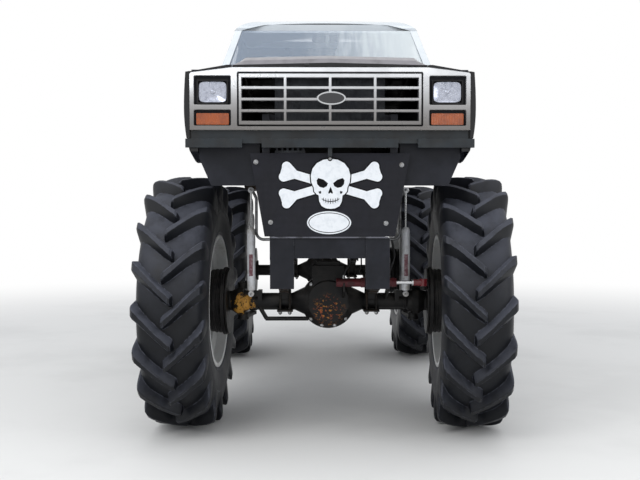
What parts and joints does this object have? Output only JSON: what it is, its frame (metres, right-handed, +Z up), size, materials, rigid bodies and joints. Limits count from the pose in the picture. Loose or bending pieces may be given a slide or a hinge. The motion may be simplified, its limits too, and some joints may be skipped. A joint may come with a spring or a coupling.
{
  "type": "monster truck",
  "caption": "Two-door pickup body raised on a double ladder frame with leaf springs, heavy axles, a steering ram and tall lugged tyres.",
  "frame": {"origin": "on the ground under the middle of the truck", "axes": "+Z up, the front faces -Y, +X to the truck's left side"},
  "size_m": [2.7052, 5.467, 3.3198],
  "materials": {
    "tyre_rubber": "worn black rubber, dusty on the lugs",
    "rim_paint": "white enamel, weathered",
    "axle_iron": "chipped black paint over cast iron",
    "ram_paint": "dark red enamel, dusty",
    "spring_steel": "black painted spring steel",
    "shock_paint": "white enamel",
    "hoop_steel": "bare bent tube",
    "chassis_paint": "satin black chassis enamel",
    "engine_iron": "oily grey iron",
    "underbody_steel": "dull dirty steel",
    "cooler_metal": "matt fins",
    "argent_plastic": "silver paint on moulded plastic",
    "bezel_chrome": "chrome plated trim",
    "lamp_glass": "pressed ribbed glass",
    "amber_lens": "ribbed amber plastic",
    "red_lens": "ribbed red plastic",
    "valance_paint": "faded blue-grey paint",
    "body_paint": "gloss black enamel",
    "liner_paint": "matt black undercoat",
    "window_glass": "tempered sheet, dusty",
    "seat_vinyl": "grey woven seat cover",
    "dash_plastic": "grained dark plastic"
  },
  "bodies": {
    "chassis": {"front_axle": "axle_iron", "rear_axle": "axle_iron", "steering_ram": "ram_paint", "leaf_springs": "spring_steel", "shock_absorbers": "shock_paint", "shock_hoops": "hoop_steel", "frame_rails": "chassis_paint", "frame_crossmembers": "chassis_paint", "frame_posts": "chassis_paint", "front_plate": "chassis_paint", "radiator_support": "chassis_paint", "body_mounts": "chassis_paint", "engine": "engine_iron", "drive_shafts": "underbody_steel", "exhaust": "underbody_steel", "fuel_tank": "underbody_steel", "radiator_and_cooler": "cooler_metal", "header_panel": "argent_plastic", "grille": "argent_plastic", "headlamp_bezels": "bezel_chrome", "headlamps": "lamp_glass", "turn_signals": "amber_lens", "tail_lamps": "red_lens", "valance": "valance_paint", "front_fenders": "body_paint", "firewall": "body_paint", "cab_sides": "body_paint", "windshield_pillars": "body_paint", "cab_back": "body_paint", "roof": "body_paint", "bed_sides": "body_paint", "cab_floor": "body_paint", "bed_floor": "body_paint", "wheel_liners": "liner_paint", "cab_glass": "window_glass", "bench_seat": "seat_vinyl", "dashboard": "dash_plastic", "steering_wheel": "dash_plastic"},
    "wheel_front_left": {"tyre_front_left": "tyre_rubber", "wheel_front_left": "rim_paint"},
    "wheel_front_right": {"tyre_front_right": "tyre_rubber", "wheel_front_right": "rim_paint"},
    "wheel_rear_left": {"tyre_rear_left": "tyre_rubber", "wheel_rear_left": "rim_paint"},
    "wheel_rear_right": {"tyre_rear_right": "tyre_rubber", "wheel_rear_right": "rim_paint"},
    "knuckle_left": {"knuckle_left": "axle_iron"},
    "door_left": {"door_left": "body_paint", "door_glass_left": "window_glass"},
    "knuckle_right": {"knuckle_right": "axle_iron"},
    "door_right": {"door_right": "body_paint", "door_glass_right": "window_glass"},
    "hood": {"hood": "body_paint"},
    "tailgate": {"tailgate": "body_paint"},
    "tie_rod": {"tie_rod": "axle_iron"},
    "ram_rod": {"ram_rod": "ram_paint"}
  },
  "joints": [
    {"name": "steering_left", "type": "hinge", "parent": "chassis", "child": "knuckle_left", "pos_m": [0.65, -1.7765, 0.947], "axis": [0, 0, 1], "range_deg": [-22, 28]},
    {"name": "steering_right", "type": "hinge", "parent": "chassis", "child": "knuckle_right", "pos_m": [-0.65, -1.7765, 0.947], "axis": [0, 0, 1], "range_deg": [-22, 28]},
    {"name": "wheel_spin_front_left", "type": "hinge", "parent": "knuckle_left", "child": "wheel_front_left", "pos_m": [1.05844, -1.79791, 0.947], "axis": [0.9986, -0.0523, 0], "continuous": true},
    {"name": "wheel_spin_front_right", "type": "hinge", "parent": "knuckle_right", "child": "wheel_front_right", "pos_m": [-1.05844, -1.75509, 0.947], "axis": [0.9986, -0.0523, 0], "continuous": true},
    {"name": "wheel_spin_rear_left", "type": "hinge", "parent": "chassis", "child": "wheel_rear_left", "pos_m": [1.059, 1.6015, 0.947], "axis": [1, 0, 0], "continuous": true},
    {"name": "wheel_spin_rear_right", "type": "hinge", "parent": "chassis", "child": "wheel_rear_right", "pos_m": [-1.059, 1.6015, 0.947], "axis": [1, 0, 0], "continuous": true},
    {"name": "tie_rod_slide", "type": "slide", "parent": "chassis", "child": "tie_rod", "axis": [-1, 0, 0], "range_m": [-0.1, 0.125]},
    {"name": "ram_slide", "type": "slide", "parent": "chassis", "child": "ram_rod", "axis": [1, 0, 0], "range_m": [-0.11, 0.14]},
    {"name": "hood_hinge", "type": "hinge", "parent": "chassis", "child": "hood", "pos_m": [0, -1.2585, 2.8], "axis": [-1, 0, 0], "range_deg": [0, 55]},
    {"name": "door_hinge_left", "type": "hinge", "parent": "chassis", "child": "door_left", "pos_m": [0.992, -1.1305, 2.3], "axis": [0, 0, -1], "range_deg": [0, 68]},
    {"name": "door_hinge_right", "type": "hinge", "parent": "chassis", "child": "door_right", "pos_m": [-0.992, -1.1305, 2.3], "axis": [0, 0, 1], "range_deg": [0, 68]},
    {"name": "tailgate_hinge", "type": "hinge", "parent": "chassis", "child": "tailgate", "pos_m": [0, 2.7015, 2.112], "axis": [-1, 0, 0], "range_deg": [0, 90]}
  ],
  "couplings": [
    {"joint": "steering_right", "follows": "steering_left", "ratio": 1},
    {"joint": "ram_slide", "follows": "steering_left", "m_per_rad": 0.2615},
    {"joint": "tie_rod_slide", "follows": "steering_left", "m_per_rad": 0.2325}
  ]
}
